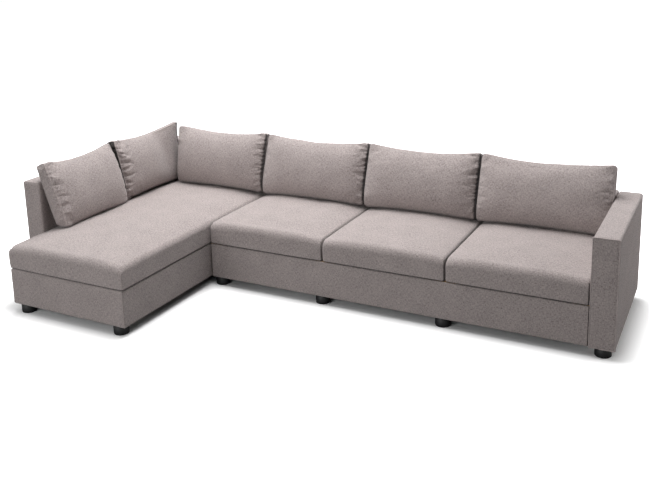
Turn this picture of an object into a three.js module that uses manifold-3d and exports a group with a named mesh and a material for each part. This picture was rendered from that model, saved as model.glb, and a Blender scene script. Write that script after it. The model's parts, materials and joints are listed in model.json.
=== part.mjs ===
// Sectional sofa: a chaise unit with a side back and a corner back on the left, and a three-seat unit
// with one arm on the right. Millimetres, +Z up, the front towards -Y.
//
// All pieces are placed from the chaise mattress: x runs from its left side, y from its front and z from
// the floor. The group at the end moves the whole sofa so that the origin lies under its middle.

import * as THREE from 'three';
import { mergeVertices } from 'three/addons/utils/BufferGeometryUtils.js';
import Module from 'manifold-3d';

const wasm = await Module();
wasm.setup();

// Plan sizes
const chaiseWidth = 838;
const chaiseReach = 810;
const firstSeatWidth = 777;
const secondSeatWidth = 739;
const thirdSeatWidth = 752;
const seatUnitDepth = 853;
const armWidth = 130;
const armSetback = 3;
const sideBackThickness = 128;
const rearBackThickness = 117;
const sideBackSetback = 279;
const baseSetback = 5;

// Heights above the floor
const undersideHeight = 54;
const baseHeight = 268;
const seatEdgeHeight = 399;
const armHeight = 632;
const rearBackHeight = 638;
const chaiseBackHeight = 707;

// Clearances
const fitGap = 0.3;
const overrun = 1;
const cushionGap = 3;
const boltClearance = 0.5;

// Timber
const railThickness = 25;
const railFootGap = 2.3;
const bearerWidth = 60;
const bearerHeight = 60;
const footBlock = 64;
const footBlockHeight = 45;
const postWidth = 45;
const frameRail = 40;
const widestBay = 300;

// Upholstery over the timber
const padding = 10;
const cornerRadius = 10;
const edgeRadius = 6;
const panelCorner = 4;
const panelEdge = 2;
const frontReturn = 32;
const panelBlank = 64;
const edgeSteps = 2;
const cornerSteps = 3;
const dustCoverThickness = 2;

// Feet and bolts
const footDiameter = 85;
const footEdgeRadius = 6;
const footTopEdge = 3;
const footSides = 16;
const footInset = 48;
const chaiseFootInset = 67;
const bearerOffset = 25;
const studRadius = 4;
const studLength = 26;
const boltRadius = 4;
const boltHeadRadius = 11;
const boltHeadThickness = 6;
const boltHeight = 160;
const boltBite = 30;
const unitBoltBite = 15;
const rodSides = 12;
const studSides = 8;
const arcSteps = 2;

// Springs
const springWire = 4;
const springWidth = 55;
const springPitch = 230;
const springWaves = 5;
const springHeight = 252;
const springArch = 8;
const springClipWidth = 34;
const springClipDepth = 12;
const springClipHeight = 8;
const waveTurnShares = [0.3, 0.7];
const tieShares = [0.28, 0.72];

// Seat pads: the chaise mattress and the seat cushions
const mattressCrown = 46;
const seatCrown = 36;
const padFrontRadius = 44;
const padRearRadius = 26;
const padLowerRadius = 10;
const padFrontBulge = 5;
const padEndRoll = 9;
const padEndInset = 8;
const padShoulderShare = 0.98;
const padInnerShares = [-0.92, -0.72, 0, 0.72, 0.92];
const padTopShares = [0.08, 0.25, 0.5, 0.75, 0.92];
const padCrownPower = 4.5;
const padBowPower = 4;
const bowShare = 0.45;

// Back cushions
const cushionHeight = 405;
const cushionLowerBand = 92;
const cushionUpperBand = 82;
const cushionCornerBandShare = 0.92;
const cushionFrontCrown = 40;
const cushionRearCrown = 3;
const cushionTopDip = 27;
const cushionBottomDip = 11;
const cushionSideDraw = 4;
const cushionBandBulge = 3;
const cushionCornerPower = 4;
const cushionFacePower = 2.6;
const cushionFaceFullness = 0.75;
const cushionTiltDegrees = 16.5;
const cornerCushionTiltDegrees = 14;
const frontSideTiltDegrees = 16.5;
const rearSideTiltDegrees = 11;
const cushionColumnSteps = 10;
const cushionRowSteps = 7;
const restSampleSteps = 24;
const restPassSteps = 3;
const restGrid = 0.1;
const sideCushionInset = 29;
const sideCushionRearInset = 2;
const sideCushionSplitShare = 0.4725;
const cornerCushionInset = 150;
const firstBackShift = 14;
const secondBackShift = -12;
const thirdBackShift = -19;

// Lines and faces worked out from the sizes above
const seatFront = chaiseReach;
const rear = chaiseReach + seatUnitDepth;
const rearBackFace = rear - rearBackThickness;
const firstJoint = chaiseWidth + firstSeatWidth;
const secondJoint = firstJoint + secondSeatWidth;
const armInside = secondJoint + thirdSeatWidth;
const armOutside = armInside + armWidth;
const left = -sideBackThickness;
const chaiseBase = {
  left: baseSetback,
  right: chaiseWidth - baseSetback,
  front: baseSetback,
  rear: rearBackFace - fitGap,
};
const seatBase = {
  left: chaiseWidth + fitGap,
  right: armInside - fitGap,
  front: seatFront + baseSetback,
  rear: rearBackFace - fitGap,
};
const railBottom = undersideHeight + railFootGap;
const footTop = undersideHeight - fitGap;

// Materials
const fabric = new THREE.MeshStandardMaterial({ color: 0x9c918f, roughness: 0.95, metalness: 0 });
const timber = new THREE.MeshStandardMaterial({ color: 0xc49a6c, roughness: 0.8, metalness: 0 });
const steel = new THREE.MeshStandardMaterial({ color: 0x6f7275, roughness: 0.45, metalness: 0.9 });
const plastic = new THREE.MeshStandardMaterial({ color: 0x161618, roughness: 0.45, metalness: 0 });
const lining = new THREE.MeshStandardMaterial({ color: 0x1d1d1f, roughness: 1, metalness: 0 });

const sofa = new THREE.Group();

function addPiece(name, geometry, material) {
  const mesh = new THREE.Mesh(welded(geometry), material.clone());
  mesh.name = name;
  sofa.add(mesh);
  return mesh;
}

// A closed geometry whose faces share their corners
function welded(geometry) {
  const bare = geometry.clone();
  bare.deleteAttribute('normal');
  bare.deleteAttribute('uv');
  const shared = mergeVertices(bare);
  shared.computeVertexNormals();
  return shared;
}

function solidOf(geometry) {
  const shared = welded(geometry);
  return new wasm.Manifold(new wasm.Mesh({
    numProp: 3,
    vertProperties: new Float32Array(shared.attributes.position.array),
    triVerts: new Uint32Array(shared.index.array),
  }));
}

function geometryOf(solid) {
  const mesh = solid.getMesh();
  const geometry = new THREE.BufferGeometry();
  geometry.setAttribute('position', new THREE.BufferAttribute(mesh.vertProperties, 3));
  geometry.setIndex(new THREE.BufferAttribute(mesh.triVerts, 1));
  return geometry;
}

function cut(geometry, tools) {
  let solid = solidOf(geometry);
  for (const tool of tools) solid = solid.subtract(solidOf(tool));
  return geometryOf(solid);
}

function join(geometries) {
  let solid = solidOf(geometries[0]);
  for (const other of geometries.slice(1)) solid = solid.add(solidOf(other));
  return geometryOf(solid);
}

function block(x0, x1, y0, y1, z0, z1) {
  const box = new THREE.BoxGeometry(x1 - x0, y1 - y0, z1 - z0);
  return box.translate((x0 + x1) / 2, (y0 + y1) / 2, (z0 + z1) / 2);
}

function rod(radius, from, to, sides) {
  const start = new THREE.Vector3(...from);
  const run = new THREE.Vector3(...to).sub(start);
  const bar = new THREE.CylinderGeometry(radius, radius, run.length(), sides);
  const turn = new THREE.Quaternion().setFromUnitVectors(new THREE.Vector3(0, 1, 0), run.clone().normalize());
  return bar.applyQuaternion(turn).translate(...start.addScaledVector(run, 0.5).toArray());
}

// A block with rounded upright corners and softened top and bottom edges
function softBlock(x0, x1, y0, y1, z0, z1, corner, edge) {
  const width = x1 - x0;
  const depth = y1 - y0;
  const outline = new THREE.Shape();
  outline.moveTo(corner, 0);
  outline.lineTo(width - corner, 0);
  outline.absarc(width - corner, corner, corner, -Math.PI / 2, 0, false);
  outline.lineTo(width, depth - corner);
  outline.absarc(width - corner, depth - corner, corner, 0, Math.PI / 2, false);
  outline.lineTo(corner, depth);
  outline.absarc(corner, depth - corner, corner, Math.PI / 2, Math.PI, false);
  outline.lineTo(0, corner);
  outline.absarc(corner, corner, corner, Math.PI, 1.5 * Math.PI, false);
  const body = new THREE.ExtrudeGeometry(outline, {
    depth: z1 - z0 - 2 * edge,
    bevelThickness: edge,
    bevelSize: edge,
    bevelOffset: -edge,
    bevelSegments: edgeSteps,
    curveSegments: cornerSteps,
  });
  return body.translate(x0, y0, z0 + edge);
}

// One upright drill for the stud of each foot
function studHoles(points, bottom) {
  const radius = studRadius + boltClearance;
  const top = footTop + studLength + boltClearance;
  return points.map(([x, y]) => rod(radius, [x, y, bottom - overrun], [x, y, top], studSides));
}

// Feet: a turned plastic puck with its threaded stud, one under each foot position
const footRow = {
  chaiseFront: chaiseBase.front + footInset,
  seatFront: seatBase.front + footInset,
  rear: rear - rearBackThickness / 2,
  sideBack: -sideBackThickness / 2,
};
const bearerLines = [firstJoint - bearerOffset, secondJoint - bearerOffset];
const chaiseFootLeft = chaiseBase.left + chaiseFootInset;
const chaiseFootRight = chaiseBase.right - chaiseFootInset;
const armFootLine = armInside + armWidth / 2;
const feet = {
  chaise_foot_front_left: [chaiseFootLeft, footRow.chaiseFront],
  chaise_foot_front_right: [chaiseFootRight, footRow.chaiseFront],
  side_back_foot_front: [footRow.sideBack, sideBackSetback + footInset],
  side_back_foot_rear: [footRow.sideBack, footRow.rear],
  corner_back_foot: [chaiseFootRight, footRow.rear],
  arm_foot_front: [armFootLine, footRow.seatFront],
  arm_foot_rear: [armFootLine, footRow.rear],
};
[seatBase.left + footInset, ...bearerLines].forEach((x, index) => {
  feet[`seat_foot_front_${index + 1}`] = [x, footRow.seatFront];
  feet[`seat_foot_rear_${index + 1}`] = [x, footRow.rear];
});

function footGeometry() {
  const radius = footDiameter / 2;
  const profile = new THREE.Path();
  profile.moveTo(0, 0);
  profile.lineTo(radius - footEdgeRadius, 0);
  profile.absarc(radius - footEdgeRadius, footEdgeRadius, footEdgeRadius, -Math.PI / 2, 0, false);
  profile.lineTo(radius, footTop - footTopEdge);
  profile.lineTo(radius - footTopEdge, footTop);
  profile.lineTo(studRadius, footTop);
  profile.lineTo(studRadius, footTop + studLength);
  profile.lineTo(0, footTop + studLength);
  return new THREE.LatheGeometry(profile.getPoints(arcSteps), footSides).rotateX(Math.PI / 2);
}

for (const [name, [x, y]] of Object.entries(feet)) {
  addPiece(name, footGeometry().translate(x, y, 0), plastic);
}

// Bolts: a round head, a shank and the end that bites into the piece bolted on
function boltGeometry(from, to) {
  const start = new THREE.Vector3(...from);
  const along = new THREE.Vector3(...to).sub(start).normalize();
  const headEnd = start.clone().addScaledVector(along, -boltHeadThickness);
  const head = rod(boltHeadRadius, headEnd.toArray(), from, rodSides);
  return join([head, rod(boltRadius, from, to, studSides)]);
}

function boltHole(from, to) {
  const start = new THREE.Vector3(...from);
  const end = new THREE.Vector3(...to);
  const along = end.clone().sub(start).normalize();
  start.addScaledVector(along, -overrun);
  end.addScaledVector(along, boltClearance);
  return rod(boltRadius + boltClearance, start.toArray(), end.toArray(), studSides);
}

// Each bolt starts under its head on the inside of a base rail
const chaiseRails = {
  left: chaiseBase.left + padding + fitGap,
  right: chaiseBase.right - padding - fitGap,
  front: chaiseBase.front + padding + fitGap,
  rear: chaiseBase.rear,
};
const seatRails = {
  left: seatBase.left,
  right: seatBase.right,
  front: seatBase.front + padding + fitGap,
  rear: seatBase.rear,
};
const boltInset = 2 * footInset;
const rearBoltLine = rearBackFace - boltInset;
const unitBoltLines = [seatBase.front + boltInset, rearBoltLine];
const sideBoltLines = [sideBackSetback + boltInset, rearBoltLine];
const boltAcross = (from, to) => (y) => [[from, y, boltHeight], [to, y, boltHeight]];
const unitBolts = unitBoltLines.map(boltAcross(
  chaiseRails.right - railThickness - fitGap,
  seatRails.left + railThickness + unitBoltBite,
));
const armBolts = unitBoltLines.map(boltAcross(
  seatRails.right - railThickness - fitGap,
  armInside + padding + boltBite,
));
const sideBolts = sideBoltLines.map(boltAcross(
  chaiseRails.left + railThickness + fitGap,
  -fitGap - padding - boltBite,
));
const rearBolt = (x) => [
  [x, seatRails.rear - railThickness - fitGap, boltHeight],
  [x, rearBackFace + padding + boltBite, boltHeight],
];
const cornerBolts = [rearBolt(chaiseWidth / 2)];
const rearBolts = [rearBolt(firstJoint - firstSeatWidth / 2), rearBolt(secondJoint + thirdSeatWidth / 2)];

addPiece('unit_bolt_front', boltGeometry(...unitBolts[0]), steel);
addPiece('unit_bolt_rear', boltGeometry(...unitBolts[1]), steel);
addPiece('arm_bolt_front', boltGeometry(...armBolts[0]), steel);
addPiece('arm_bolt_rear', boltGeometry(...armBolts[1]), steel);
addPiece('side_back_bolt_front', boltGeometry(...sideBolts[0]), steel);
addPiece('side_back_bolt_rear', boltGeometry(...sideBolts[1]), steel);
addPiece('corner_back_bolt', boltGeometry(...cornerBolts[0]), steel);
addPiece('rear_back_bolt_left', boltGeometry(...rearBolts[0]), steel);
addPiece('rear_back_bolt_right', boltGeometry(...rearBolts[1]), steel);

const holesFor = (bolts) => bolts.map(([from, to]) => boltHole(from, to));

// Base frames: boards on edge, with a block in the corner over each foot that no rail or bearer covers
function railFrame(prefix, rails, blocks, sideHoles) {
  const innerFront = rails.front + railThickness + fitGap;
  const innerRear = rails.rear - railThickness - fitGap;
  const board = (x0, x1, y0, y1) => block(x0, x1, y0, y1, railBottom, baseHeight);
  const frontRail = board(rails.left, rails.right, rails.front, rails.front + railThickness);
  const rearRail = board(rails.left, rails.right, rails.rear - railThickness, rails.rear);
  addPiece(`${prefix}_front_rail`, frontRail, timber);
  addPiece(`${prefix}_rear_rail`, cut(rearRail, sideHoles.rear), timber);
  const sides = {
    left: [rails.left, rails.left + railThickness],
    right: [rails.right - railThickness, rails.right],
  };
  for (const [side, [x0, x1]] of Object.entries(sides)) {
    const parts = [board(x0, x1, innerFront, innerRear)];
    if (blocks[side]) {
      const start = side === 'left' ? x0 : x1 - railThickness - footBlock;
      const end = start + railThickness + footBlock;
      const top = railBottom + footBlockHeight;
      parts.push(block(start, end, innerFront, innerFront + footBlock, railBottom, top));
    }
    addPiece(`${prefix}_${side}_rail`, cut(join(parts), sideHoles[side]), timber);
  }
}

railFrame('chaise', chaiseRails, { left: true, right: true }, {
  rear: holesFor(cornerBolts),
  left: [...holesFor(sideBolts), ...studHoles([feet.chaise_foot_front_left], railBottom)],
  right: [...holesFor(unitBolts), ...studHoles([feet.chaise_foot_front_right], railBottom)],
});
railFrame('seat', seatRails, { left: true, right: false }, {
  rear: holesFor(rearBolts),
  left: [...holesFor(unitBolts), ...studHoles([feet.seat_foot_front_1], railBottom)],
  right: holesFor(armBolts),
});

const bearerTop = railBottom + bearerHeight;
const bearerEnds = (rails) => [rails.front + railThickness + fitGap, rails.rear - railThickness - fitGap];
bearerLines.forEach((x, index) => {
  const [y0, y1] = bearerEnds(seatRails);
  const bearer = block(x - bearerWidth / 2, x + bearerWidth / 2, y0, y1, railBottom, bearerTop);
  const foot = [x, footRow.seatFront];
  addPiece(`seat_bearer_${index + 1}`, cut(bearer, studHoles([foot], railBottom)), timber);
});
const chaiseMiddle = (chaiseBase.front + chaiseBase.rear) / 2;
addPiece('chaise_bearer', block(
  chaiseRails.left + railThickness + fitGap,
  chaiseRails.right - railThickness - fitGap,
  chaiseMiddle - bearerWidth / 2,
  chaiseMiddle + bearerWidth / 2,
  railBottom,
  bearerTop,
), timber);

// Zigzag springs with the tie wires that hold them together, clipped to the inside of two rails
function springGeometry(span) {
  const clip = springClipDepth / 2;
  const wave = (span - springClipDepth) / springWaves;
  const points = [[clip, 0]];
  for (let i = 0; i < springWaves; i += 1) {
    const side = i % 2 === 0 ? 1 : -1;
    for (const share of waveTurnShares) points.push([clip + wave * (i + share), side * springWidth / 2]);
  }
  points.push([span - clip, 0]);
  const half = springWire / 2;
  const positions = [];
  points.forEach(([run, across], i) => {
    const [r0, a0] = points[Math.max(i - 1, 0)];
    const [r1, a1] = points[Math.min(i + 1, points.length - 1)];
    const tangent = new THREE.Vector2(r1 - r0, a1 - a0).normalize();
    const height = archHeight(run / span);
    for (const [sideways, up] of [[-half, -half], [half, -half], [half, half], [-half, half]]) {
      positions.push(run - tangent.y * sideways, across + tangent.x * sideways, height + up);
    }
  });
  const index = [0, 2, 1, 0, 3, 2];
  for (let ring = 0; ring < points.length - 1; ring += 1) {
    for (let k = 0; k < 4; k += 1) {
      const a = ring * 4 + k;
      const b = ring * 4 + (k + 1) % 4;
      index.push(a, b, b + 4, a, b + 4, a + 4);
    }
  }
  const last = (points.length - 1) * 4;
  index.push(last, last + 1, last + 2, last, last + 2, last + 3);
  const geometry = new THREE.BufferGeometry();
  geometry.setAttribute('position', new THREE.Float32BufferAttribute(positions, 3));
  geometry.setIndex(index);
  return geometry;
}

function archHeight(share) {
  return springHeight + springArch * (1 - (2 * share - 1) ** 2);
}

// Springs run along local x from one rail face to the other, and lie side by side along local y
function springUnit(span, width) {
  const count = Math.round(width / springPitch);
  const pitch = width / count;
  const parts = [];
  const clipHalf = springClipWidth / 2;
  const low = springHeight - springClipHeight / 2;
  for (let i = 0; i < count; i += 1) {
    const y = pitch * (i + 0.5);
    parts.push(springGeometry(span).translate(0, y, 0));
    for (const x of [0, span - springClipDepth]) {
      parts.push(block(x, x + springClipDepth, y - clipHalf, y + clipHalf, low, low + springClipHeight));
    }
  }
  for (const share of tieShares) {
    const height = archHeight(share);
    const half = springWire / 2;
    const y0 = pitch / 2 - springWidth;
    parts.push(block(span * share - half, span * share + half, y0, width - y0, height - half, height + half));
  }
  return join(parts);
}

const seatSpringSpan = seatRails.rear - seatRails.front - 2 * (railThickness + fitGap);
const seatSpringWidth = seatRails.right - seatRails.left - 2 * railThickness;
const seatSprings = springUnit(seatSpringSpan, seatSpringWidth).rotateZ(Math.PI / 2);
addPiece('seat_springs', seatSprings.translate(
  seatRails.right - railThickness,
  seatRails.front + railThickness + fitGap,
  0,
), steel);
const chaiseSpringSpan = chaiseRails.right - chaiseRails.left - 2 * (railThickness + fitGap);
const chaiseSpringWidth = chaiseRails.rear - chaiseRails.front - 2 * railThickness;
addPiece('chaise_springs', springUnit(chaiseSpringSpan, chaiseSpringWidth).translate(
  chaiseRails.left + railThickness + fitGap,
  chaiseRails.front + railThickness,
  0,
), steel);

// Base covers: padded fabric over the rails, turned round the front corners of the chaise. The front
// panel is cut from a deeper block, so that only its front corners are round.
const frontCover = softBlock(
  chaiseBase.left,
  chaiseBase.right,
  chaiseBase.front,
  chaiseBase.front + panelBlank,
  undersideHeight,
  baseHeight,
  cornerRadius,
  edgeRadius,
);
addPiece('chaise_front_cover', cut(frontCover, [block(
  chaiseBase.left + padding,
  chaiseBase.right - padding,
  chaiseBase.front + padding,
  chaiseBase.front + panelBlank + overrun,
  undersideHeight - overrun,
  baseHeight + overrun,
), block(
  chaiseBase.left - overrun,
  chaiseBase.right + overrun,
  chaiseBase.front + frontReturn,
  chaiseBase.front + panelBlank + overrun,
  undersideHeight - overrun,
  baseHeight + overrun,
)]), fabric);

const sideCoverStart = chaiseBase.front + frontReturn + fitGap;
function sideCover(x0, holes) {
  const panel = softBlock(
    x0,
    x0 + padding,
    sideCoverStart,
    chaiseBase.rear,
    undersideHeight,
    baseHeight,
    panelCorner,
    panelEdge,
  );
  return cut(panel, holes);
}
addPiece('chaise_left_cover', sideCover(chaiseBase.left, holesFor(sideBolts)), fabric);
addPiece('chaise_right_cover', sideCover(chaiseBase.right - padding, holesFor(unitBolts)), fabric);
addPiece('seat_front_cover', softBlock(
  seatBase.left,
  seatBase.right,
  seatBase.front,
  seatBase.front + padding,
  undersideHeight,
  baseHeight,
  panelCorner,
  panelEdge,
), fabric);

// Dust covers: dark lining under each base, pierced where the studs of the feet pass
function dustCover(rails, points) {
  const sheet = block(
    rails.left,
    rails.right,
    rails.front,
    rails.rear,
    undersideHeight,
    undersideHeight + dustCoverThickness,
  );
  return cut(sheet, studHoles(points, undersideHeight));
}
addPiece('chaise_dust_cover', dustCover(chaiseRails, [
  feet.chaise_foot_front_left,
  feet.chaise_foot_front_right,
]), lining);
addPiece('seat_dust_cover', dustCover(seatRails, [
  feet.seat_foot_front_1,
  feet.seat_foot_front_2,
  feet.seat_foot_front_3,
]), lining);

// A ladder frame of posts and rails, standing in the XZ plane with its first corner at the origin
function ladderFrame(length, height, depth, railLines) {
  const bays = Math.ceil((length - postWidth) / (widestBay + postWidth));
  const pitch = (length - postWidth) / bays;
  const lows = [0, ...railLines, height - frameRail];
  const openings = [];
  for (let row = 0; row < lows.length - 1; row += 1) {
    for (let bay = 0; bay < bays; bay += 1) {
      const x0 = postWidth + bay * pitch;
      const x1 = x0 + pitch - postWidth;
      openings.push(block(x0, x1, -overrun, depth + overrun, lows[row] + frameRail, lows[row + 1]));
    }
  }
  return cut(block(0, length, 0, depth, 0, height), openings);
}

// A cover pulled over a back from above: padded walls and top, open underneath
function backCover(x0, x1, y0, y1, top) {
  const shell = softBlock(x0, x1, y0, y1, undersideHeight, top, cornerRadius, edgeRadius);
  const cavity = block(
    x0 + padding,
    x1 - padding,
    y0 + padding,
    y1 - padding,
    undersideHeight - overrun,
    top - padding,
  );
  return cut(shell, [cavity]);
}

// A back is a ladder frame and its cover; the frame stands fitGap inside the cover all round
const boltRail = boltHeight - undersideHeight - frameRail / 2;
function upholsteredBack(prefix, x0, x1, y0, y1, top, footPoints, bolts) {
  const inset = padding + fitGap;
  const length = Math.max(x1 - x0, y1 - y0) - 2 * inset;
  const depth = Math.min(x1 - x0, y1 - y0) - 2 * inset;
  const height = top - undersideHeight - inset;
  const middle = (boltRail + height) / 2;
  const frame = ladderFrame(length, height, depth, [boltRail, middle]);
  if (x1 - x0 > y1 - y0) {
    frame.translate(x0 + inset, y0 + inset, undersideHeight);
  } else {
    frame.rotateZ(Math.PI / 2).translate(x1 - inset, y0 + inset, undersideHeight);
  }
  const studs = studHoles(footPoints, undersideHeight);
  addPiece(`${prefix}_frame`, cut(frame, [...studs, ...holesFor(bolts)]), timber);
  return cut(backCover(x0, x1, y0, y1, top), holesFor(bolts));
}

const sideBack = addPiece('side_back_cover', upholsteredBack(
  'side_back',
  left,
  -fitGap,
  sideBackSetback,
  rear,
  chaiseBackHeight,
  [feet.side_back_foot_front, feet.side_back_foot_rear],
  sideBolts,
), fabric);
const cornerBack = addPiece('corner_back_cover', upholsteredBack(
  'corner_back',
  0,
  chaiseWidth,
  rearBackFace,
  rear,
  chaiseBackHeight,
  [feet.corner_back_foot],
  cornerBolts,
), fabric);
const rearBack = addPiece('rear_back_cover', upholsteredBack(
  'rear_back',
  chaiseWidth + fitGap,
  armInside - fitGap,
  rearBackFace,
  rear,
  rearBackHeight,
  [feet.seat_foot_rear_1, feet.seat_foot_rear_2, feet.seat_foot_rear_3],
  rearBolts,
), fabric);

// The arm's cover is open at the front, where a separate sewn panel closes it
const armFront = seatFront - armSetback;
const armCover = upholsteredBack(
  'arm',
  armInside,
  armOutside,
  armFront,
  rear,
  armHeight,
  [feet.arm_foot_front, feet.arm_foot_rear],
  armBolts,
);
const armPanelCut = block(
  armInside - overrun,
  armOutside + overrun,
  armFront - overrun,
  armFront + padding,
  undersideHeight - overrun,
  armHeight + overrun,
);
addPiece('arm_cover', cut(armCover, [armPanelCut]), fabric);
const armPanelBack = armFront + padding - fitGap;
addPiece('arm_front_panel', cut(softBlock(
  armInside,
  armOutside,
  armFront,
  armFront + panelBlank,
  undersideHeight,
  armHeight,
  cornerRadius,
  edgeRadius,
), [block(
  armInside - overrun,
  armOutside + overrun,
  armPanelBack,
  armFront + panelBlank + overrun,
  undersideHeight - overrun,
  armHeight + overrun,
)]), fabric);

// Seat pads: one side profile for each section across the width, joined into a crowned pad
function padProfile(depth, crown, share, end) {
  const edge = seatEdgeHeight - baseHeight - fitGap - (end ? padEndRoll : 0);
  const height = edge + crown * (1 - bowShare) * share;
  const bow = crown * bowShare * share;
  const front = padFrontBulge * (1 - share) + (end ? padEndInset / 2 : 0);
  const low = end ? padEndInset / 2 : 0;
  const profile = new THREE.Path();
  profile.moveTo(depth, padLowerRadius);
  profile.lineTo(depth - padLowerRadius, low);
  profile.lineTo(front + padLowerRadius, low);
  profile.lineTo(front, low + padLowerRadius);
  profile.lineTo(front, height - padFrontRadius);
  profile.absarc(front + padFrontRadius, height - padFrontRadius, padFrontRadius, Math.PI, Math.PI / 2, true);
  const run = depth - front - padFrontRadius - padRearRadius;
  for (const t of padTopShares) {
    profile.lineTo(front + padFrontRadius + run * t, height + bow * (1 - (2 * t - 1) ** padBowPower));
  }
  profile.lineTo(depth - padRearRadius, height);
  profile.absarc(depth - padRearRadius, height - padRearRadius, padRearRadius, Math.PI / 2, 0, true);
  return profile.getPoints(arcSteps);
}

function padGeometry(width, depth, crown) {
  const places = [-1, -padShoulderShare, ...padInnerShares, padShoulderShare, 1];
  const sections = places.map((place) => {
    const end = Math.abs(place) === 1;
    const shoulder = width / 2 - padEndInset / 2;
    const x = end ? place * width / 2 : place / padShoulderShare * shoulder;
    const share = end ? 0 : 1 - Math.abs(place / padShoulderShare) ** padCrownPower;
    return padProfile(depth, crown, share, end).map((point) => [x, point.x, point.y]);
  });
  return loft(sections);
}

// Joins closed rings of equal length and closes both ends with a fan
function loft(rings) {
  const count = rings[0].length;
  const positions = rings.flat(2);
  const index = [];
  const lastRing = rings.length - 1;
  for (let ring = 0; ring < lastRing; ring += 1) {
    for (let k = 0; k < count; k += 1) {
      const a = ring * count + k;
      const b = ring * count + (k + 1) % count;
      index.push(a, b + count, b, a, a + count, b + count);
    }
  }
  [0, lastRing].forEach((ring, side) => {
    const middle = positions.length / 3;
    for (let axis = 0; axis < 3; axis += 1) {
      positions.push(rings[ring].reduce((sum, point) => sum + point[axis], 0) / count);
    }
    for (let k = 0; k < count; k += 1) {
      const a = ring * count + k;
      const b = ring * count + (k + 1) % count;
      index.push(...(side === 0 ? [middle, a, b] : [middle, b, a]));
    }
  });
  const geometry = new THREE.BufferGeometry();
  geometry.setAttribute('position', new THREE.Float32BufferAttribute(positions, 3));
  geometry.setIndex(index);
  return geometry;
}

function seatPad(name, x0, x1, y0, crown) {
  const pad = padGeometry(x1 - x0, rearBackFace - fitGap - y0, crown);
  return addPiece(name, pad.translate((x0 + x1) / 2, y0, baseHeight + fitGap), fabric);
}

const halfGap = cushionGap / 2;
const pads = [
  seatPad('chaise_mattress', 0, chaiseWidth, 0, mattressCrown),
  seatPad('seat_cushion_1', chaiseWidth + halfGap, firstJoint - halfGap, seatFront, seatCrown),
  seatPad('seat_cushion_2', firstJoint + halfGap, secondJoint - halfGap, seatFront, seatCrown),
  seatPad('seat_cushion_3', secondJoint + halfGap, armInside - halfGap, seatFront, seatCrown),
];

// Back cushions: a crowned front and rear face sewn to a band that narrows towards the top and the
// corners; the sides are drawn in between the corners, and the underside is slanted so that it lies flat
// once the cushion leans. Local x is the width, y is up, z is the thickness.
function cushionGeometry(width, lean) {
  const spread = (step, steps) => Math.sin((2 * step / steps - 1) * Math.PI / 2);
  const slanted = (y, z, v) => y - z * Math.tan(lean) * (1 - v) / 2;
  const point = (u, v, face) => {
    const drop = v > 0 ? cushionTopDip : cushionBottomDip;
    const x = (width / 2 - cushionSideDraw * (1 - v * v)) * u;
    const y = (cushionHeight / 2 - drop * (1 - u * u)) * v;
    const band = cushionLowerBand + (cushionUpperBand - cushionLowerBand) * (v + 1) / 2;
    const narrow = 1 - (1 - cushionCornerBandShare) * Math.abs(u * v) ** cushionCornerPower;
    const across = 1 - Math.abs(u) ** cushionFacePower;
    const up = 1 - Math.abs(v) ** cushionFacePower;
    const crown = (across * up) ** cushionFaceFullness;
    const rise = face > 0 ? cushionFrontCrown : cushionRearCrown;
    const z = face * (band * narrow / 2 + rise * crown);
    return [x, slanted(y, z, v), z];
  };
  const positions = [];
  const index = [];
  const columns = cushionColumnSteps + 1;
  const faceSize = columns * (cushionRowSteps + 1);
  for (const face of [1, -1]) {
    for (let row = 0; row <= cushionRowSteps; row += 1) {
      for (let column = 0; column <= cushionColumnSteps; column += 1) {
        positions.push(...point(spread(column, cushionColumnSteps), spread(row, cushionRowSteps), face));
      }
    }
  }
  for (let row = 0; row < cushionRowSteps; row += 1) {
    for (let column = 0; column < cushionColumnSteps; column += 1) {
      const a = row * columns + column;
      const b = a + 1;
      const c = a + columns;
      const d = c + 1;
      index.push(a, b, d, a, d, c);
      index.push(a + faceSize, d + faceSize, b + faceSize, a + faceSize, c + faceSize, d + faceSize);
    }
  }
  const rim = [];
  for (let column = 0; column < cushionColumnSteps; column += 1) rim.push(column);
  for (let row = 0; row < cushionRowSteps; row += 1) rim.push(row * columns + cushionColumnSteps);
  for (let column = cushionColumnSteps; column > 0; column -= 1) rim.push(cushionRowSteps * columns + column);
  for (let row = cushionRowSteps; row > 0; row -= 1) rim.push(row * columns);
  const ringStart = positions.length / 3;
  for (const corner of rim) {
    const [front, back] = [corner * 3, (corner + faceSize) * 3];
    const [x, y] = [0, 1].map((axis) => (positions[front + axis] + positions[back + axis]) / 2);
    const out = 1 + cushionBandBulge / Math.hypot(x, y);
    positions.push(x * out, y * out, (positions[front + 2] + positions[back + 2]) / 2);
  }
  rim.forEach((a, i) => {
    const next = (i + 1) % rim.length;
    const b = rim[next];
    const midA = ringStart + i;
    const midB = ringStart + next;
    index.push(a, midA, midB, a, midB, b);
    index.push(midA, a + faceSize, b + faceSize, midA, b + faceSize, midB);
  });
  const geometry = new THREE.BufferGeometry();
  geometry.setAttribute('position', new THREE.Float32BufferAttribute(positions, 3));
  geometry.setIndex(index);
  return geometry;
}

// Stands a cushion up, its lower rear edge at the origin, and leans its rear face back by the tilt
function leaned(width, tilt) {
  const rearLean = Math.atan((cushionLowerBand - cushionUpperBand) / 2 / cushionHeight);
  const lean = THREE.MathUtils.degToRad(tilt) + rearLean;
  return cushionGeometry(width, lean)
    .translate(0, cushionHeight / 2, cushionLowerBand / 2)
    .rotateX(Math.PI / 2 - lean);
}

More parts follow.
